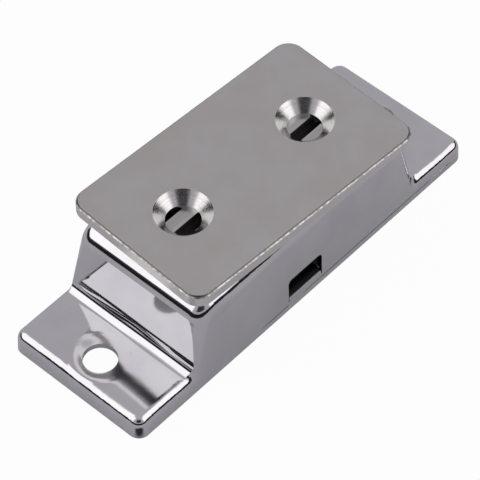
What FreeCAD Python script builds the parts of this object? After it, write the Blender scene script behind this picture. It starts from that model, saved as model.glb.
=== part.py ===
import FreeCAD, Part
import Sketcher
import os
import re

# Magnetic catch for a cabinet door, in millimetres.
# A pressed chrome housing screws to the cabinet. It traps a floating magnet pack whose two
# steel pole plates stand up through its top. The strike plate, which screws to the door,
# lies across the pole tips and pulls off upwards.
# +X runs along the housing, +Z away from the mounting surface, and the origin is the centre
# of the housing's base.

SIZES = {
    # Housing, pressed from one sheet
    "sheet": 0.8,
    "wall_lean": 2.3,
    "flange_length": 61.0,
    "flange_width": 21.4,
    "flange_height": 3.05,
    "flange_corner": 1.5,
    "edge_bend": 1.3,
    "dome_reach": 21.3,
    "dome_lean": 14.0,
    "dome_height": 13.5,
    "end_roll": 3.2,
    "dome_bend": 2.0,
    "wall_fold": 1.6,
    # Flat pressed into each end wall, which clears the screw's head and the driver
    "flat_reach": 20.4,
    "flat_lean": 8.0,
    # Screw holes in the flanges, each in a shallow dish
    "screw_spacing": 52.0,
    "screw_hole": 4.4,
    "dish_width": 8.0,
    "dish_depth": 0.25,
    # Opening that the pole tips pass through
    "pole_play": 0.9,
    "opening_corner": 1.0,
    # Window in each side wall, and the tab that is bent inwards out of it
    "window_width": 6.2,
    "window_shift": -0.35,
    "window_sill": 2.5,
    "window_top": 5.4,
    "window_corner": 0.7,
    "tab_reach": 3.2,
    "tab_gap": 0.15,
    "tab_bend": 0.15,
    # Pole plates, with the magnet between them
    "pole_thickness": 1.8,
    "magnet_thickness": 1.7,
    "pole_tip_length": 27.0,
    "pole_shoulder": 1.0,
    "magnet_setback": 1.2,
    "pack_offset": -0.5,
    "pocket_play": 0.05,
    # Moulded holder, which carries them and floats on the tabs
    "holder_length": 31.6,
    "holder_play": 1.2,
    "holder_floor": 1.2,
    "holder_bevel": 1.6,
    "float_travel": 0.5,
    "float_gap": 0.05,
    # Strike plate
    "strike_seat": 14.15,
    "strike_length": 38.0,
    "strike_width": 22.4,
    "strike_thickness": 2.0,
    "strike_corner": 2.2,
    "strike_edge": 0.3,
    "strike_turn": -3.0,
    "strike_shift": 0.15,
    "strike_spacing": 21.0,
    "strike_hole": 4.5,
    "sink_width": 7.4,
    "sink_angle": 90.0,
    # Length by which cutters run past what they cut, and the dishes' cutters beside the folds
    "overcut": 1.0,
    "dish_over": 0.1,
}

doc = FreeCAD.newDocument("magnetic_catch")
sheet = doc.addObject("Spreadsheet::Sheet", "Sizes")
for row, (alias, value) in enumerate(SIZES.items(), start=1):
    sheet.set("A%d" % row, alias)
    sheet.set("B%d" % row, str(value))
    sheet.setAlias("B%d" % row, alias)
doc.recompute()


def formula(text):
    """Turns a formula in size names into one that reads the sheet."""
    return re.sub(r"[a-z_]+", lambda word: "Sizes." + word[0] if word[0] in SIZES else word[0], text)


def worth(text):
    """Value of a formula in millimetres."""
    return float(sheet.evalExpression(text))


def bind(item, **formulas):
    """Binds properties of an object to formulas. Two underscores stand for a dot."""
    for name, text in formulas.items():
        item.setExpression(name.replace("__", "."), formula(str(text)))
    return item


def plane_of(body, role):
    """Origin plane of a body, found by its role."""
    return next(item for item in body.Origin.OriginFeatures if item.Role == role)


def outline(body, role, points):
    """Closed sketch of straight lines on an origin plane, each corner bound to two formulas."""
    sketch = body.newObject("Sketcher::SketchObject", "outline")
    sketch.AttachmentSupport = [(plane_of(body, role), "")]
    sketch.MapMode = "FlatFace"
    corners = [FreeCAD.Vector(worth(across), worth(up), 0) for across, up in points]
    for number, corner in enumerate(corners):
        following = corners[(number + 1) % len(corners)]
        sketch.addGeometry(Part.LineSegment(corner, following), False)
    for number, (across, up) in enumerate(points):
        previous = (number - 1) % len(points)
        sketch.addConstraint(Sketcher.Constraint("Coincident", previous, 2, number, 1))
        for axis, text in (("DistanceX", across), ("DistanceY", up)):
            place = sketch.addConstraint(Sketcher.Constraint(axis, -1, 1, number, 1, worth(text)))
            sketch.setExpression("Constraints[%d]" % place, formula(text))
    return sketch


def block(name, length, width, height, floor="0", centre="0", lean="0"):
    """Body padded from a rectangle, centred on X and Y or on another line along X.

    Its four sides lean inwards upwards by the given angle.
    """
    body = doc.addObject("PartDesign::Body", name)
    left, right = "-(%s)/2" % length, "(%s)/2" % length
    front, back = "%s-(%s)/2" % (centre, width), "%s+(%s)/2" % (centre, width)
    pad = body.newObject("PartDesign::Pad", "pad")
    pad.Profile = outline(body, "XY_Plane", [(left, front), (right, front), (right, back), (left, back)])
    bind(pad, Length=height, TaperAngle="-1deg * (%s)" % lean)
    bind(body, Placement__Base__z=floor)
    doc.recompute()
    return body


def body_on(name, base):
    """Body that carries on from another shape."""
    body = doc.addObject("PartDesign::Body", name)
    body.BaseFeature = base
    doc.recompute()
    return body


def picked(body, chosen):
    """A body's last feature with the names of its edges that the test picks."""
    edges = enumerate(body.Tip.Shape.Edges, start=1)
    return (body.Tip, ["Edge%d" % number for number, edge in edges if chosen(edge)])


def round_edges(body, radius, chosen):
    base = picked(body, chosen)
    fillet = body.newObject("PartDesign::Fillet", "fillet")
    fillet.Base = base
    bind(fillet, Radius=radius)
    doc.recompute()
    return fillet


def bevel_edges(body, size, chosen):
    base = picked(body, chosen)
    chamfer = body.newObject("PartDesign::Chamfer", "chamfer")
    chamfer.Base = base
    bind(chamfer, Size=size)
    doc.recompute()
    return chamfer


def soften_edges(body, radius, inset, chosen):
    """Outer bend of the sheet as a fillet. On the inner side a bevel keeps the same thickness."""
    if inset == "0":
        return round_edges(body, radius, chosen)
    return bevel_edges(body, "(%s - %s) * (2 - sqrt(2))" % (radius, inset), chosen)


def upright(edge):
    box = edge.BoundBox
    return box.ZLength > 10 * max(box.XLength, box.YLength)


def level_at(height):
    """Test for edges that lie flat at one height."""
    return lambda edge: abs(edge.BoundBox.ZMin - height) < 1e-6 and edge.BoundBox.ZLength < 1e-6


def crossing(edge):
    """Test for straight edges along Y."""
    return edge.BoundBox.XLength < 1e-6 and edge.BoundBox.ZLength < 1e-6


def solid_from(kind, name, **formulas):
    return bind(doc.addObject(kind, name), **formulas)


def fused(name, items):
    union = doc.addObject("Part::MultiFuse", name)
    union.Shapes = items
    union.Refine = True
    return union


def cut(name, base, tools):
    """Base without the tools."""
    result = doc.addObject("Part::Cut", name)
    result.Base = base
    result.Tool = tools[0] if len(tools) == 1 else fused(name + "_tools", tools)
    result.Refine = True
    return result


def wall_at(height):
    """Half width over the side walls' outer faces at one height."""
    return "flange_width / 2 - (%s) * tan(wall_lean * 1deg)" % height


def leaning_form(name, length, height, inset):
    """Block with the walls' lean, as wide as the housing, inset for the sheet's inner side."""
    foot, spread = "0", "0"
    if inset != "0":
        foot, spread = "-overcut", "2 * overcut * tan(wall_lean * 1deg)"
    return block(name, "%s - 2 * %s + %s" % (length, inset, spread),
                 "flange_width - 2 * %s + %s" % (inset, spread),
                 "%s - %s - (%s)" % (height, inset, foot), floor=foot, lean="wall_lean")


def tray_form(inset):
    """Both flanges with the skirt below them."""
    body = leaning_form("tray_form", "flange_length", "flange_height", inset)
    top = body.Tip.Shape.BoundBox.ZMax
    round_edges(body, "flange_corner - " + inset, upright)
    soften_edges(body, "edge_bend", inset, level_at(top))
    return body


def dome_form(inset):
    """Domed middle, rolled over at its ends and bent along its sides and corners."""
    block_form = leaning_form("dome_block", "flange_length", "dome_height", inset)
    ends = [end_cutter(end, inset, "-2 * overcut", "dome_reach", "dome_lean") for end in (-1, 1)]
    body = body_on("dome_form", cut("dome_base", block_form, ends))
    bottom, top = body.Tip.Shape.BoundBox.ZMin, body.Tip.Shape.BoundBox.ZMax
    round_edges(body, "end_roll - " + inset, lambda edge: level_at(top)(edge) and crossing(edge))
    soften_edges(body, "dome_bend", inset,
                 lambda edge: edge.BoundBox.ZMax > bottom + 1e-6 and not crossing(edge))
    return body


def end_cutter(end, inset, floor, reach, lean):
    """Cutter beyond one end, with a leaning face whose reach is given at the flange's top."""
    body = doc.addObject("PartDesign::Body", "end_cutter")
    ceiling = "dome_height + overcut"

    def face_at(height):
        drawn_in = "(%s - flange_height) * tan(%s * 1deg)" % (height, lean)
        return "%s - %s - %s / cos(%s * 1deg)" % (reach, drawn_in, inset, lean)

    points = [(face_at(floor), floor), ("flange_length", floor), ("flange_length", ceiling),
              (face_at(ceiling), ceiling)]
    pad = body.newObject("PartDesign::Pad", "pad")
    pad.Profile = outline(body, "XZ_Plane", [("%d * (%s)" % (end, across), up) for across, up in points])
    bind(pad, Length="flange_width + 2 * overcut")
    pad.Midplane = True
    doc.recompute()
    return body


def flat_form(end, inset):
    """Cutter with a rounded lower rim: it shapes the flat of one end wall and the fold below it."""
    body = end_cutter(end, inset, "flange_height - " + inset, "flat_reach", "flat_lean")
    floor = body.Tip.Shape.BoundBox.ZMin
    middle = worth("flange_length / 2")
    round_edges(body, "wall_fold + " + inset,
                lambda edge: crossing(edge) and level_at(floor)(edge) and abs(edge.BoundBox.XMax) < middle)
    return body


def dish_form(end, inset):
    """Low cone that presses a shallow dish round one screw hole."""
    slope = "2 * dish_depth / (dish_width - screw_hole)"
    rim = "(dish_width / 2 + dish_over)"
    return solid_from("Part::Cone", "dish_form", Radius1="0", Radius2=rim, Height="%s * %s" % (slope, rim),
                      Placement__Base__x="%d * screw_spacing / 2" % end,
                      Placement__Base__z="flange_height - %s - %s * dish_width / 2" % (inset, slope))


def folded_form(base):
    """Outer side with a fold where the dome's ends and corners rise from the flanges."""
    body = body_on("folded_form", base)
    low, beyond = worth("flange_height"), worth("dome_reach + overcut")
    round_edges(body, "wall_fold",
                lambda edge: crossing(edge) and level_at(low)(edge) and abs(edge.BoundBox.XMax) < beyond)
    return body


def pressed_form(name, inset):
    """Outer or inner side of the pressed sheet, as a solid."""
    base = fused("joined_form", [tray_form(inset), dome_form(inset)])
    if inset == "0":
        base = folded_form(base)
    tools = [form(end, inset) for form in (flat_form, dish_form) for end in (-1, 1)]
    return cut(name, base, tools)


def screw_cutter(end):
    """Screw hole through one flange."""
    return solid_from("Part::Cylinder", "screw_bore", Radius="screw_hole / 2",
                      Height="flange_height + overcut", Placement__Base__x="%d * screw_spacing / 2" % end)


def window_cutter(side):
    """Opening in one side wall, down to the foot of the tab's bend."""
    foot = "window_sill - sheet - tab_bend"
    body = block("window_form", "window_width", "sheet + 2 * overcut", "window_top - (%s)" % foot, floor=foot,
                 centre="%d * (flange_width - sheet) / 2" % side)
    bind(body, Placement__Base__x="window_shift")
    top = body.Tip.Shape.BoundBox.ZMax
    round_edges(body, "window_corner", lambda edge: level_at(top)(edge) and crossing(edge))
    return body


def tab_form(side):
    """Tab bent inwards at one window's sill, with the bend that joins it to the wall."""
    body = doc.addObject("PartDesign::Body", "tab_form")
    under = "window_sill - sheet"
    foot = "window_sill - 2 * sheet - tab_bend"
    wall, inner = wall_at("window_sill"), wall_at(under) + " - sheet"
    tip = "flange_width / 2 - tab_reach"
    points = [(wall_at(foot), foot), (wall, "window_sill"), (tip, "window_sill"), (tip, under),
              (inner, under), (wall_at(foot) + " - sheet", foot)]
    pad = body.newObject("PartDesign::Pad", "pad")
    pad.Profile = outline(body, "YZ_Plane", [("%d * (%s)" % (side, across), up) for across, up in points])
    bind(pad, Length="window_width - 2 * tab_gap")
    pad.Midplane = True
    bind(body, Placement__Base__x="window_shift")
    doc.recompute()

    def along(across, height):
        return lambda edge: (abs(abs(edge.BoundBox.YMax) - across) < 1e-6 and edge.BoundBox.YLength < 1e-6
                             and abs(edge.BoundBox.ZMax - height) < 1e-6 and edge.BoundBox.ZLength < 1e-6)

    round_edges(body, "sheet + tab_bend", along(worth(wall), worth("window_sill")))
    round_edges(body, "tab_bend", along(worth(inner), worth(under)))
    return body


def make_housing():
    """Chrome-plated shell, open below, with its flats, screw holes, windows and tabs."""
    shell = cut("shell", pressed_form("outer_form", "0"), [pressed_form("inner_form", "sheet")])
    opening = block("opening_form", "pole_tip_length + 2 * pole_play", CORE_WIDTH + " + 2 * pole_play",
                    "sheet + 2 * overcut", floor="dome_height - sheet - overcut")
    round_edges(opening, "opening_corner", upright)
    cutters = [opening]
    for end in (-1, 1):
        cutters += [screw_cutter(end), window_cutter(end)]
    pierced = cut("pierced_shell", shell, cutters)
    return fused("housing", [pierced, tab_form(-1), tab_form(1)])


HOLDER_TOP = "dome_height - sheet - float_travel - float_gap"
POCKET_FLOOR = "window_sill + holder_floor"
CORE_LENGTH = "pole_tip_length + 2 * pole_shoulder"
CORE_WIDTH = "2 * pole_thickness + magnet_thickness"


def make_holder():
    """Moulded block that stands on both tabs, with a pocket for the magnet and pole plates."""
    body = block("magnet_holder", "holder_length", "flange_width - 2 * sheet - 2 * holder_play",
                 HOLDER_TOP + " - window_sill", floor="window_sill", centre="pack_offset")
    top = body.Tip.Shape.BoundBox.ZMax
    bevel_edges(body, "holder_bevel", lambda edge: level_at(top)(edge) or upright(edge))
    pocket = body.newObject("PartDesign::Pocket", "pocket")
    half_length = "(%s) / 2 + pocket_play" % CORE_LENGTH
    half_width = "(%s) / 2 + pocket_play" % CORE_WIDTH
    front, back = "pack_offset - (%s)" % half_width, "pack_offset + %s" % half_width
    left, right = "-(%s)" % half_length, half_length
    pocket.Profile = outline(body, "XY_Plane", [(left, front), (right, front), (right, back), (left, back)])
    pocket.Reversed = True
    bind(pocket, Length=HOLDER_TOP)
    bind(pocket.Profile[0], AttachmentOffset__Base__z="holder_floor")
    doc.recompute()
    return body


def make_pole_plate(name, side):
    """Steel plate with a shoulder at each end that stays under the housing's top."""
    body = doc.addObject("PartDesign::Body", name)
    core, tip = "(%s) / 2" % CORE_LENGTH, "pole_tip_length / 2"
    points = [(core, POCKET_FLOOR), (core, HOLDER_TOP), (tip, HOLDER_TOP), (tip, "strike_seat"),
              ("-" + tip, "strike_seat"), ("-" + tip, HOLDER_TOP), ("-" + core, HOLDER_TOP),
              ("-" + core, POCKET_FLOOR)]
    pad = body.newObject("PartDesign::Pad", "pad")
    pad.Profile = outline(body, "XZ_Plane", points)
    bind(pad, Length="pole_thickness")
    pad.Midplane = True
    bind(body, Placement__Base__y="pack_offset + %d * (magnet_thickness + pole_thickness) / 2" % side)
    doc.recompute()
    return body


def make_magnet():
    """Flat magnet between the pole plates, set back below their tips."""
    return block("magnet", CORE_LENGTH, "magnet_thickness",
                 "%s - (%s) - magnet_setback" % (HOLDER_TOP, POCKET_FLOOR), floor=POCKET_FLOOR,
                 centre="pack_offset")


def make_strike_plate():
    """Plated steel strip with two countersunk holes, lying across the pole tips."""
    body = block("strike_form", "strike_length", "strike_width", "strike_thickness")
    round_edges(body, "strike_corner", upright)
    bottom, top = body.Tip.Shape.BoundBox.ZMin, body.Tip.Shape.BoundBox.ZMax
    bevel_edges(body, "strike_edge", lambda edge: level_at(bottom)(edge) or level_at(top)(edge))
    flare = "tan(sink_angle * 1deg / 2)"
    sink_depth = "(sink_width - strike_hole) / 2 / " + flare
    cutters = []
    for end in (-1, 1):
        place = "%d * strike_spacing / 2" % end
        cutters.append(solid_from("Part::Cylinder", "strike_bore", Radius="strike_hole / 2",
                                  Height="strike_thickness + 2 * overcut", Placement__Base__x=place,
                                  Placement__Base__z="-overcut"))
        cutters.append(solid_from("Part::Cone", "strike_sink", Radius1="strike_hole / 2",
                                  Radius2="sink_width / 2 + overcut * " + flare,
                                  Height=sink_depth + " + overcut", Placement__Base__x=place,
                                  Placement__Base__z="strike_thickness - " + sink_depth))
    plate = cut("strike_plate", body, cutters)
    plate.Placement.Rotation = FreeCAD.Rotation(FreeCAD.Vector(0, 0, 1), 1)
    bind(plate, Placement__Base__x="strike_shift", Placement__Base__z="strike_seat",
         Placement__Rotation__Angle="strike_turn * 1deg")
    return plate


nodes = [make_housing(), make_holder(), make_magnet(), make_pole_plate("pole_plate_left", 1),
         make_pole_plate("pole_plate_right", -1), make_strike_plate()]
doc.recompute()

for item in doc.Objects:
    for state in ("Invalid", "Error"):
        if state in item.State:
            raise RuntimeError("%s is %s" % (item.Label, state))

os.makedirs("parts", exist_ok=True)
for node in nodes:
    shape = node.Shape
    if shape.isNull() or not shape.isValid():
        raise RuntimeError("%s has no valid shape" % node.Label)
    shape.exportStep("parts/%s.step" % node.Label)
    print(node.Label, len(shape.Solids), round(shape.Volume, 2), shape.BoundBox)
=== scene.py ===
import math

import bpy
from mathutils import Matrix, Vector

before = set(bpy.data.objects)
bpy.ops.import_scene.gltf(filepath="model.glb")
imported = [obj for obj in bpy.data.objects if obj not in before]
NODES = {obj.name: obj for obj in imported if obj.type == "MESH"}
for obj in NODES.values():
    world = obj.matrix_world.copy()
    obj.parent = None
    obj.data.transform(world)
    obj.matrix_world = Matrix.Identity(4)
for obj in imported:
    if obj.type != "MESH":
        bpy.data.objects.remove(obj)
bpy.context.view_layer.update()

# Magnetic catch on a plain pale floor in soft studio light, in metres.

MM = 0.001


# Camera, at the photograph's viewing angle

CAMERA_AZIMUTH = -0.8403
CAMERA_ELEVATION = 0.8955
CAMERA_ROLL = 0.0033
CAMERA_DISTANCE = 378.12 * MM
CAMERA_TARGET = Vector((0, 0, -0.84 * MM))
CAMERA_LENS = 224.64
CAMERA_SENSOR = 36
CAMERA_SHIFT = (-0.0077, 0.0270)
CAMERA_REACH = (0.01, 20)


def make_camera():
    """Long lens looking down at the catch from its near left corner."""
    azimuth, elevation = CAMERA_AZIMUTH, CAMERA_ELEVATION
    back = Vector((math.sin(azimuth) * math.cos(elevation), -math.cos(azimuth) * math.cos(elevation),
                   math.sin(elevation)))
    level = Vector((math.cos(azimuth), math.sin(azimuth), 0))
    rise = back.cross(level)
    right = level * math.cos(CAMERA_ROLL) + rise * math.sin(CAMERA_ROLL)
    up = back.cross(right)
    data = bpy.data.cameras.new("camera")
    data.lens = CAMERA_LENS
    data.sensor_width = CAMERA_SENSOR
    data.shift_x, data.shift_y = CAMERA_SHIFT
    data.clip_start, data.clip_end = CAMERA_REACH
    camera = bpy.data.objects.new("camera", data)
    bpy.context.scene.collection.objects.link(camera)
    turn = Matrix((right, up, back)).transposed().to_4x4()
    camera.matrix_world = Matrix.Translation(CAMERA_TARGET + back * CAMERA_DISTANCE) @ turn
    bpy.context.scene.camera = camera


# Node helpers

def new_material(name):
    """New material, with its node tree and its Principled shader."""
    material = bpy.data.materials.new(name)
    material.use_nodes = True
    tree = material.node_tree
    return material, tree, tree.nodes["Principled BSDF"]


def add(tree, kind, inputs=None, **settings):
    """Adds a node, sets its properties, and fills or links its inputs."""
    node = tree.nodes.new(kind)
    for name, value in settings.items():
        setattr(node, name, value)
    for key, value in (inputs or {}).items():
        if isinstance(value, bpy.types.NodeSocket):
            tree.links.new(value, node.inputs[key])
        else:
            node.inputs[key].default_value = value
    return node


def maths(tree, operation, first, second=0.0, clamp=False):
    """Result of one Math node."""
    return add(tree, "ShaderNodeMath", {0: first, 1: second}, operation=operation,
               use_clamp=clamp).outputs[0]


def product(tree, first, *others):
    """Values multiplied together."""
    for value in others:
        first = maths(tree, "MULTIPLY", first, value)
    return first


def total(tree, first, *others):
    """Values added together."""
    for value in others:
        first = maths(tree, "ADD", first, value)
    return first


def magnitude(tree, value):
    """A value without its sign."""
    return maths(tree, "ABSOLUTE", value)


def ramp(tree, value, start, end, low=0.0, high=1.0, smooth=True):
    """Goes from low to high while a value goes from start to end, with soft turns if smooth."""
    node = add(tree, "ShaderNodeMapRange", {"Value": value, "From Min": start, "From Max": end,
                                            "To Min": low, "To Max": high})
    node.interpolation_type = "SMOOTHSTEP" if smooth else "LINEAR"
    return node.outputs["Result"]


def fade(tree, value, start, end):
    """Falls softly from one to nothing while a value goes from start to end."""
    return ramp(tree, value, start, end, 1.0, 0.0)


def blend_colour(tree, share, first, second):
    """Mixes two colours, each a socket or a written colour."""
    node = add(tree, "ShaderNodeMix", data_type="RGBA")
    for socket, value in ((node.inputs[0], share), (node.inputs[6], first), (node.inputs[7], second)):
        if isinstance(value, bpy.types.NodeSocket):
            tree.links.new(value, socket)
        else:
            socket.default_value = value
    return node.outputs[2]


def object_place(tree):
    """Object coordinates, which are the frame's own on every solid."""
    return add(tree, "ShaderNodeTexCoord").outputs["Object"]


def axes(tree, place):
    """X, Y and Z of a place or a direction."""
    return add(tree, "ShaderNodeSeparateXYZ", {0: place}).outputs


def noise(tree, place, scale, detail, stretch=(1, 1, 1)):
    """Noise value on object coordinates, with its grain drawn out along an axis if wanted."""
    if stretch != (1, 1, 1):
        place = add(tree, "ShaderNodeMapping", {"Vector": place, "Scale": stretch}).outputs[0]
    return add(tree, "ShaderNodeTexNoise", {"Vector": place, "Scale": scale, "Detail": detail}).outputs[0]


def relief(tree, height, normal=None):
    """Normal of a surface raised by a height in metres, on top of another normal if given."""
    inputs = {"Height": height, "Strength": 1.0, "Distance": 1.0}
    if normal is not None:
        inputs["Normal"] = normal
    return add(tree, "ShaderNodeBump", inputs).outputs[0]


def distance_from(tree, along, across, centre):
    """Distance in plan from a centre on the X axis, the same on both halves of the catch."""
    beside = maths(tree, "SUBTRACT", magnitude(tree, along), centre)
    plan = add(tree, "ShaderNodeCombineXYZ", {0: beside, 1: across}).outputs[0]
    return add(tree, "ShaderNodeVectorMath", {0: plan}, operation="LENGTH").outputs["Value"]


def make_plated_grain():
    """Group for plated metal: soft blotches, fine grain, and a normal that carries both."""
    group = bpy.data.node_groups.new("plated_grain", "ShaderNodeTree")
    face = group.interface
    face.new_socket("Vector", in_out="INPUT", socket_type="NodeSocketVector")
    for name in ("Blotch Scale", "Grain Scale", "Wave Height", "Grain Height"):
        face.new_socket(name, in_out="INPUT", socket_type="NodeSocketFloat")
    for name in ("Blotches", "Grain"):
        face.new_socket(name, in_out="OUTPUT", socket_type="NodeSocketFloat")
    face.new_socket("Normal", in_out="OUTPUT", socket_type="NodeSocketVector")
    entry = add(group, "NodeGroupInput").outputs
    leave = add(group, "NodeGroupOutput").inputs
    blotches = noise(group, entry["Vector"], entry["Blotch Scale"], detail=3.0)
    grain = noise(group, entry["Vector"], entry["Grain Scale"], detail=2.0)
    waves = product(group, blotches, entry["Wave Height"])
    fine = product(group, grain, entry["Grain Height"])
    group.links.new(blotches, leave["Blotches"])
    group.links.new(grain, leave["Grain"])
    group.links.new(relief(group, total(group, waves, fine)), leave["Normal"])
    return group


PLATED_GRAIN = make_plated_grain()


def plated_grain(tree, place, blotch_scale, grain_scale, wave_height, grain_height):
    """Places the plated grain in a material with its own scales and heights."""
    return add(tree, "ShaderNodeGroup", {
        "Vector": place,
        "Blotch Scale": blotch_scale,
        "Grain Scale": grain_scale,
        "Wave Height": wave_height,
        "Grain Height": grain_height,
    }, node_tree=PLATED_GRAIN).outputs


# Housing, where a pair of lengths says where a form or its edge starts and ends

SCREW_PLACE = 26.0 * MM
DISH_RADII = (2.2 * MM, 4.0 * MM)
DISH_DEPTH = 0.25 * MM
SOFT_DISH_RADII = (1.7 * MM, 4.4 * MM)
SOFT_DISH_DEPTH = 0.17 * MM
SOFT_DISH_ALONG = (23.0 * MM, 28.5 * MM)
SOFT_DISH_SLANT = 0.5
SOFT_DISH_INNER_SHARE = 0.12

FLANGE_ALONG = (23.0 * MM, 29.5 * MM)
FLANGE_ACROSS = (-3.0 * MM, 7.0 * MM)
FLANGE_NEAR_RISE = 0.42 * MM
FLANGE_FAR_RISE = 0.08 * MM

END_ALONG = (4.0 * MM, 19.5 * MM)
END_HEIGHTS = (3.0 * MM, 11.3 * MM)
END_LEAN = 0.85 * MM
SWELL_ALONG = (19.5 * MM, 20.0 * MM)
SWELL_ACROSS = (0.0, 8.8 * MM)
SWELL_HEIGHTS = (3.8 * MM, 4.55 * MM)
SWELL_RELIEF = 0.26 * MM

FOOT_ALONG = (-16.0 * MM, -4.0 * MM)
FOOT_ACROSS = (9.2 * MM, 9.8 * MM)
FOOT_HEIGHTS = (0.85 * MM, 1.1 * MM)
FOOT_RELIEF = 0.14 * MM
FOOT_GAPS = (0.3, 0.46)

SILL_MIDDLE = -0.35 * MM
SILL_END = (3.05 * MM, 3.1 * MM)
SILL_ACROSS = (7.0 * MM, 7.1 * MM)
SILL_BOTTOM = (2.08 * MM, 2.16 * MM)
SILL_TOP = (2.6 * MM, 2.65 * MM)

CHROME = ((0.58, 0.572, 0.6, 1), (0.62, 0.612, 0.638, 1))
CHROME_HAZE = (0.35, 0.7)
CHROME_BLOTCHES = (0.3, 0.75)
CHROME_ROUGHNESS = (0.04, 0.1)
# Painted shade on the window sills, black as the hollow behind them, with its roughness
SILL_PAINTED_SHADE = (0.012, 0.012, 0.014, 1)
SILL_SHADE_ROUGHNESS = 0.5


def drawn_flange(tree, place):
    """Relief of the flanges, which rise softly to their ends.

    The dish of each screw hole is levelled, and a softer one is drawn in its place, deeper on its outer side.
    """
    x, y, _ = axes(tree, place)
    outwards = magnitude(tree, x)
    rise = ramp(tree, y, *FLANGE_ACROSS, FLANGE_NEAR_RISE, FLANGE_FAR_RISE)
    rising = product(tree, ramp(tree, outwards, *FLANGE_ALONG), rise)
    away = distance_from(tree, x, y, SCREW_PLACE)
    levelled = ramp(tree, away, *DISH_RADII, DISH_DEPTH, 0.0, smooth=False)
    dish = ramp(tree, away, *SOFT_DISH_RADII, -SOFT_DISH_DEPTH, 0.0)
    slanting = total(tree, outwards, product(tree, y, SOFT_DISH_SLANT))
    outer = ramp(tree, slanting, *SOFT_DISH_ALONG, SOFT_DISH_INNER_SHARE, 1.0)
    return total(tree, rising, levelled, product(tree, dish, outer))


def leaning_end(tree, place):
    """Relief of the end panels, which stand a little steeper and swell out above the fold."""
    x, y, z = axes(tree, place)
    outwards = magnitude(tree, x)
    steeper = product(tree, ramp(tree, outwards, *END_ALONG),
                      ramp(tree, z, *END_HEIGHTS, -END_LEAN, 0.0, smooth=False))
    swell = product(tree, fade(tree, magnitude(tree, y), *SWELL_ACROSS), ramp(tree, outwards, *SWELL_ALONG),
                    ramp(tree, z, *SWELL_HEIGHTS, SWELL_RELIEF, 0.0, smooth=False))
    return total(tree, steeper, swell)


def pressed_foot(tree, place):
    """Relief of the housing's foot, which the press left a hair proud here and there along the long sides."""
    x, y, z = axes(tree, place)
    gaps = noise(tree, place, scale=110.0, detail=3.0, stretch=(1, 1, 0.2))
    return product(tree, ramp(tree, magnitude(tree, y), *FOOT_ACROSS, 0.0, FOOT_RELIEF),
                   ramp(tree, x, *FOOT_ALONG), ramp(tree, gaps, *FOOT_GAPS), fade(tree, z, *FOOT_HEIGHTS))


def painted_sill_shade(tree, place):
    """Share of painted shade on the sheared sills of the side windows, black as the hollow behind them."""
    x, y, z = axes(tree, place)
    beside = magnitude(tree, maths(tree, "SUBTRACT", x, SILL_MIDDLE))
    return product(tree, fade(tree, beside, *SILL_END), ramp(tree, magnitude(tree, y), *SILL_ACROSS),
                   ramp(tree, z, *SILL_BOTTOM), fade(tree, z, *SILL_TOP))


def bright_chrome():
    """Mirror chrome over pressed sheet, which stays faintly wavy and lightly hazed."""
    material, tree, shader = new_material("bright_chrome")
    shader.inputs["Metallic"].default_value = 1.0
    place = object_place(tree)
    surface = plated_grain(tree, place, blotch_scale=160.0, grain_scale=3200.0,
                           wave_height=0.012 * MM, grain_height=0.0004 * MM)
    # Painted shade on the window sills, black as the hollow behind them
    sill_shade = painted_sill_shade(tree, place)
    plated = blend_colour(tree, ramp(tree, surface["Blotches"], *CHROME_HAZE), *CHROME)
    tree.links.new(blend_colour(tree, sill_shade, plated, SILL_PAINTED_SHADE), shader.inputs["Base Color"])
    rough = ramp(tree, surface["Blotches"], *CHROME_BLOTCHES, *CHROME_ROUGHNESS)
    rough = total(tree, rough, product(tree, sill_shade, SILL_SHADE_ROUGHNESS))
    tree.links.new(rough, shader.inputs["Roughness"])
    shape = total(tree, drawn_flange(tree, place), leaning_end(tree, place), pressed_foot(tree, place))
    tree.links.new(relief(tree, shape, surface["Normal"]), shader.inputs["Normal"])
    return material


# Strike plate, where a pair of lengths says where a form or its edge starts and ends

STRIKE_TURN = math.radians(-3)
STRIKE_SHIFT = 0.15 * MM

COUNTERSINK_PLACE = 10.5 * MM
COUNTERSINK_EDGE = (3.68 * MM, 3.74 * MM)
RING_SCALE = 7.0
RING_RELIEF = 0.007 * MM

FLANK_TOP = (15.84 * MM, 15.86 * MM)
FLANK_START = (3.7 * MM, 3.8 * MM)
ARRIS_BOTTOM = (15.84 * MM, 15.87 * MM)
ARRIS_TOP = (16.13 * MM, 16.148 * MM)
# Heights over which the painted shade on the edges comes in
ARRIS_SHADE_HEIGHTS = (15.95 * MM, 16.02 * MM)

SATIN = ((0.525, 0.495, 0.48, 1), (0.54, 0.535, 0.53, 1))
SATIN_BLOTCHES = (0.3, 0.72)
SATIN_GRAIN = (0.25, 0.75)
SATIN_ROUGHNESS = (0.3, 0.4)
FLANK = (0.66, 0.645, 0.64, 1)
TURNED = ((0.56, 0.55, 0.55, 1), (0.66, 0.65, 0.65, 1))
TURNED_RINGS = (0.35, 0.65)
TURNED_SMOOTHER = 0.16
# Painted highlight along the edges, glinting in places, and painted shade above it
ARRIS_GLINT_COLOURS = ((0.36, 0.345, 0.335, 1), (0.78, 0.76, 0.75, 1))
ARRIS_GLINT_RANGE = (0.4, 0.65)
ARRIS_PAINTED_SHADE = (0.17, 0.163, 0.158, 1)


def plate_place(tree, place):
    """Place in the plate's own line, which lies a little off the housing's."""
    moved = add(tree, "ShaderNodeVectorMath", {0: place, 1: (STRIKE_SHIFT, 0, 0)}, operation="SUBTRACT")
    return add(tree, "ShaderNodeVectorRotate", {"Vector": moved.outputs[0], "Angle": -STRIKE_TURN},
               rotation_type="Z_AXIS").outputs[0]


def cutter_rings(tree, away):
    """Uneven rings round a countersink, as the cutter left them, from the distance to its middle."""
    in_millimetres = product(tree, away, 1 / MM)
    return add(tree, "ShaderNodeTexNoise", {"W": in_millimetres, "Scale": RING_SCALE, "Detail": 3.0},
               noise_dimensions="1D").outputs[0]


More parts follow.
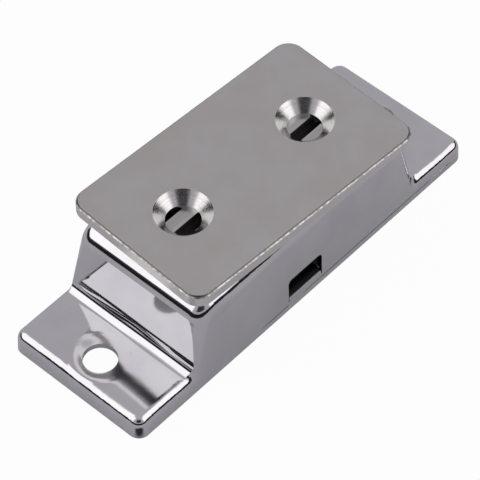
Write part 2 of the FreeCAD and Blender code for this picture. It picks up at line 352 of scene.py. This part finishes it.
def painted_arris_light(tree, place, height):
    """Colour of the edges over the side faces: a painted highlight that glints in places, and painted shade
    further up.
    """
    glint = ramp(tree, noise(tree, place, scale=1700.0, detail=3.0), *ARRIS_GLINT_RANGE)
    glinting = blend_colour(tree, glint, *ARRIS_GLINT_COLOURS)
    return blend_colour(tree, ramp(tree, height, *ARRIS_SHADE_HEIGHTS), glinting, ARRIS_PAINTED_SHADE)


def satin_nickel():
    """Satin nickel with faint blotches, a painted glinting highlight and painted shade on its edges, brighter
    side faces and turned countersinks.
    """
    material, tree, shader = new_material("satin_nickel")
    shader.inputs["Metallic"].default_value = 1.0
    place = object_place(tree)
    surface = plated_grain(tree, place, blotch_scale=210.0, grain_scale=4200.0,
                           wave_height=0.004 * MM, grain_height=0.0022 * MM)
    along, across, height = axes(tree, plate_place(tree, place))
    away = distance_from(tree, along, across, COUNTERSINK_PLACE)
    rings = cutter_rings(tree, away)

    # Shares of the countersinks, of the edges over the side faces and of the side faces
    sunk = fade(tree, away, *COUNTERSINK_EDGE)
    edge = product(tree, ramp(tree, height, *ARRIS_BOTTOM), fade(tree, height, *ARRIS_TOP),
                   maths(tree, "SUBTRACT", 1.0, sunk))
    flank = product(tree, fade(tree, height, *FLANK_TOP), ramp(tree, away, *FLANK_START))

    satin = blend_colour(tree, ramp(tree, surface["Blotches"], *SATIN_BLOTCHES), *SATIN)
    turned = blend_colour(tree, ramp(tree, rings, *TURNED_RINGS), *TURNED)
    colour = blend_colour(tree, flank, satin, FLANK)
    colour = blend_colour(tree, sunk, colour, turned)
    # Edges painted with a glinting highlight and, higher up, painted shade
    colour = blend_colour(tree, edge, colour, painted_arris_light(tree, place, height))
    tree.links.new(colour, shader.inputs["Base Color"])
    rough = ramp(tree, surface["Grain"], *SATIN_GRAIN, *SATIN_ROUGHNESS)
    rough = maths(tree, "SUBTRACT", rough, product(tree, sunk, TURNED_SMOOTHER))
    tree.links.new(rough, shader.inputs["Roughness"])
    cut = product(tree, rings, sunk, RING_RELIEF)
    tree.links.new(relief(tree, cut, surface["Normal"]), shader.inputs["Normal"])
    return material


# Magnet pack

NOISE_RANGE = (0.3, 0.7)
ZINC = ((0.46, 0.45, 0.445, 1), (0.58, 0.57, 0.565, 1))
ZINC_ROUGHNESS = (0.28, 0.42)
ZINC_RELIEF = 0.004 * MM
MOULDED_BLACK = ((0.012, 0.012, 0.014, 1), (0.02, 0.02, 0.022, 1))
FIRED_FERRITE = ((0.04, 0.04, 0.045, 1), (0.065, 0.063, 0.066, 1))
DULL_RELIEF = 0.02 * MM


def zinc_steel():
    """Zinc-plated pole steel with the fine lines of its grinding."""
    material, tree, shader = new_material("zinc_steel")
    shader.inputs["Metallic"].default_value = 1.0
    lines = noise(tree, object_place(tree), scale=900.0, detail=3.0, stretch=(0.06, 1, 1))
    tree.links.new(blend_colour(tree, ramp(tree, lines, *NOISE_RANGE), *ZINC), shader.inputs["Base Color"])
    tree.links.new(ramp(tree, lines, *NOISE_RANGE, *ZINC_ROUGHNESS), shader.inputs["Roughness"])
    tree.links.new(relief(tree, product(tree, lines, ZINC_RELIEF)), shader.inputs["Normal"])
    return material


def dull_body(name, colours, roughness, scale):
    """Dull non-metal, moulded or fired, with fine mottling and grain."""
    material, tree, shader = new_material(name)
    mottle = noise(tree, object_place(tree), scale, detail=4.0)
    colour = blend_colour(tree, ramp(tree, mottle, *NOISE_RANGE), *colours)
    tree.links.new(colour, shader.inputs["Base Color"])
    tree.links.new(ramp(tree, mottle, *NOISE_RANGE, *roughness), shader.inputs["Roughness"])
    tree.links.new(relief(tree, product(tree, mottle, DULL_RELIEF)), shader.inputs["Normal"])
    return material


def dress_nodes():
    """Gives each solid its finish."""
    steel = zinc_steel()
    finishes = {
        "housing": bright_chrome(),
        "strike_plate": satin_nickel(),
        "pole_plate_left": steel,
        "pole_plate_right": steel,
        "magnet_holder": dull_body("moulded_black", MOULDED_BLACK, roughness=(0.45, 0.57), scale=1500.0),
        "magnet": dull_body("fired_ferrite", FIRED_FERRITE, roughness=(0.6, 0.72), scale=900.0),
    }
    for name, material in finishes.items():
        NODES[name].material_slots[0].material = material


# Floor, which the camera and the metal see brighter than the light alone would make it

FLOOR_SIZE = 6.0
FLOOR_COLOURS = ((0.55, 0.54, 0.575, 1), (0.58, 0.57, 0.605, 1))
FLOOR_TO_CAMERA = 0.97
FLOOR_TO_METAL = 0.15
OPEN_PAST_ENDS = (21.0 * MM, 22.0 * MM)
OPEN_PAST_SIDES = (10.2 * MM, 10.6 * MM)
CORNER_SHADE_PLACE = (-31.2 * MM, -11.4 * MM, 0)
CORNER_SHADE_RADII = (0.9 * MM, 2.0 * MM)
CORNER_SHADE = 0.93


def open_floor(tree, place):
    """Share of the floor that isn't under the dome, and of all its underside."""
    x, y, _ = axes(tree, place)
    past_ends = ramp(tree, magnitude(tree, x), *OPEN_PAST_ENDS)
    past_sides = ramp(tree, magnitude(tree, y), *OPEN_PAST_SIDES)
    from_below = add(tree, "ShaderNodeNewGeometry").outputs["Backfacing"]
    return maths(tree, "MAXIMUM", maths(tree, "MAXIMUM", past_ends, past_sides), from_below)


def make_floor():
    """Plain pale floor under the catch, nearly white to the camera and paler than it is to the metal."""
    bpy.ops.object.select_all(action="DESELECT")
    bpy.ops.mesh.primitive_plane_add(size=FLOOR_SIZE)
    floor = bpy.context.object
    floor.name = "floor"
    material, tree, shader = new_material("pale_floor")
    place = object_place(tree)
    mottle = noise(tree, place, scale=30.0, detail=2.0)
    tree.links.new(blend_colour(tree, mottle, *FLOOR_COLOURS), shader.inputs["Base Color"])
    shader.inputs["Roughness"].default_value = 0.9
    shader.inputs["Specular IOR Level"].default_value = 0.1
    light = add(tree, "ShaderNodeLightPath").outputs
    seen = product(tree, light["Is Camera Ray"], open_floor(tree, place), FLOOR_TO_CAMERA)
    through = product(tree, light["Is Transmission Ray"], FLOOR_TO_CAMERA)
    mirrored = product(tree, light["Is Glossy Ray"], FLOOR_TO_METAL)
    share = maths(tree, "ADD", total(tree, seen, through), mirrored, clamp=True)
    white = add(tree, "ShaderNodeEmission", {"Color": (1, 1, 1, 1), "Strength": 1.0})
    pale = add(tree, "ShaderNodeMixShader", {0: share, 1: shader.outputs[0], 2: white.outputs[0]})

    # Shade close in front of the near corner, which the metal mirrors
    away = add(tree, "ShaderNodeVectorMath", {0: place, 1: CORNER_SHADE_PLACE}, operation="DISTANCE")
    shade = ramp(tree, away.outputs["Value"], *CORNER_SHADE_RADII, CORNER_SHADE, 0.0)
    shade = product(tree, shade, light["Is Glossy Ray"])
    black = add(tree, "ShaderNodeEmission", {"Color": (0, 0, 0, 1), "Strength": 0.0})
    shaded = add(tree, "ShaderNodeMixShader", {0: shade, 1: pale.outputs[0], 2: black.outputs[0]})
    tree.links.new(shaded.outputs[0], tree.nodes["Material Output"].inputs["Surface"])
    floor.data.materials.append(material)


# Studio, with bearings from +X towards +Y and elevations from the horizon, in degrees

WALL_LEVEL = 0.57
PANELS = [
    {"bearing": 132, "half_width": 34, "low": 12, "high": 66, "soft": 7, "level": 1.6},
    {"bearing": -50, "half_width": 30, "low": 12, "high": 60, "soft": 7, "level": 1.6},
    {"bearing": -136, "half_width": 26, "low": 29, "high": 62, "soft": 8, "level": 0.05},
]
PANEL_FOOT_SOFT = 1.5
SKIRTING_EDGE = (18, 20)
SKIRTING_LEVEL = 0.03
SKIRTING_GAP = {"bearing": 50, "half_width": 48, "low": -5, "high": 60, "soft": 5}
TINT_LEVELS = (0.6, 1.2)
TINTS = ((0.98, 0.96, 1.0, 1), (1.0, 0.99, 0.98, 1))

SOFTBOX_BEARING = 90
SOFTBOX_ELEVATION = 80
SOFTBOX_DISTANCE = 0.8
SOFTBOX_SIZE = 0.5
SOFTBOX_RADIANCE = 0.3


def sine(degrees):
    """Sine of an angle in degrees."""
    return math.sin(math.radians(degrees))


def cosine(degrees):
    """Cosine of an angle in degrees."""
    return math.cos(math.radians(degrees))


def aim(bearing, elevation):
    """Direction from the object."""
    return Vector((cosine(bearing) * cosine(elevation), sine(bearing) * cosine(elevation), sine(elevation)))


def panel_share(tree, direction, panel):
    """Share of a direction that falls in a soft-edged panel of the studio."""
    flat = add(tree, "ShaderNodeVectorMath", {0: direction, 1: (1, 1, 0)}, operation="MULTIPLY").outputs[0]
    level = add(tree, "ShaderNodeVectorMath", {0: flat}, operation="NORMALIZE").outputs[0]
    turned = add(tree, "ShaderNodeVectorMath", {0: level, 1: tuple(aim(panel["bearing"], 0))},
                 operation="DOT_PRODUCT").outputs["Value"]
    half_width, soft = panel["half_width"], panel["soft"]
    low, high = panel["low"], panel["high"]
    height = axes(tree, direction)["Z"]
    beside = ramp(tree, turned, cosine(half_width + soft), cosine(half_width - soft))
    above = ramp(tree, height, sine(low - PANEL_FOOT_SOFT), sine(low + PANEL_FOOT_SOFT))
    below = ramp(tree, height, sine(high + soft), sine(high - soft))
    return product(tree, beside, above, below)


def make_world():
    """Grey studio with a pale panel on either side, a dark one behind the camera and a dark skirting.

    The skirting has a gap beyond the catch. The camera itself sees near white beyond the floor.
    """
    world = bpy.data.worlds.new("studio")
    bpy.context.scene.world = world
    world.use_nodes = True
    tree = world.node_tree
    direction = add(tree, "ShaderNodeTexCoord").outputs["Generated"]
    walls = WALL_LEVEL
    for panel in PANELS:
        share = panel_share(tree, direction, panel)
        walls = add(tree, "ShaderNodeMix", {0: share, 2: walls, 3: panel["level"]}).outputs[0]
    edge_start, edge_end = SKIRTING_EDGE
    skirting = ramp(tree, axes(tree, direction)["Z"], sine(edge_start), sine(edge_end), SKIRTING_LEVEL, 1.0)
    gap = panel_share(tree, direction, SKIRTING_GAP)
    lit = product(tree, walls, maths(tree, "MAXIMUM", skirting, gap))
    seen = add(tree, "ShaderNodeLightPath").outputs["Is Camera Ray"]
    strength = add(tree, "ShaderNodeMix", {0: seen, 2: lit, 3: 1.0}).outputs[0]
    tree.links.new(strength, tree.nodes["Background"].inputs["Strength"])
    tint = blend_colour(tree, ramp(tree, lit, *TINT_LEVELS), *TINTS)
    tree.links.new(tint, tree.nodes["Background"].inputs["Color"])


def make_softbox():
    """Square lamp overhead, set by how bright its face looks, which the metal doesn't mirror."""
    data = bpy.data.lights.new("top_softbox", "AREA")
    data.shape = "RECTANGLE"
    data.size, data.size_y = SOFTBOX_SIZE, SOFTBOX_SIZE
    data.energy = SOFTBOX_RADIANCE * math.pi * SOFTBOX_SIZE * SOFTBOX_SIZE
    lamp = bpy.data.objects.new("top_softbox", data)
    bpy.context.scene.collection.objects.link(lamp)
    direction = aim(SOFTBOX_BEARING, SOFTBOX_ELEVATION)
    lamp.location = direction * SOFTBOX_DISTANCE
    lamp.rotation_euler = direction.to_track_quat("Z", "Y").to_euler()
    lamp.visible_glossy = False


bpy.context.scene.view_settings.view_transform = "Standard"
make_camera()
dress_nodes()
make_floor()
make_world()
make_softbox()
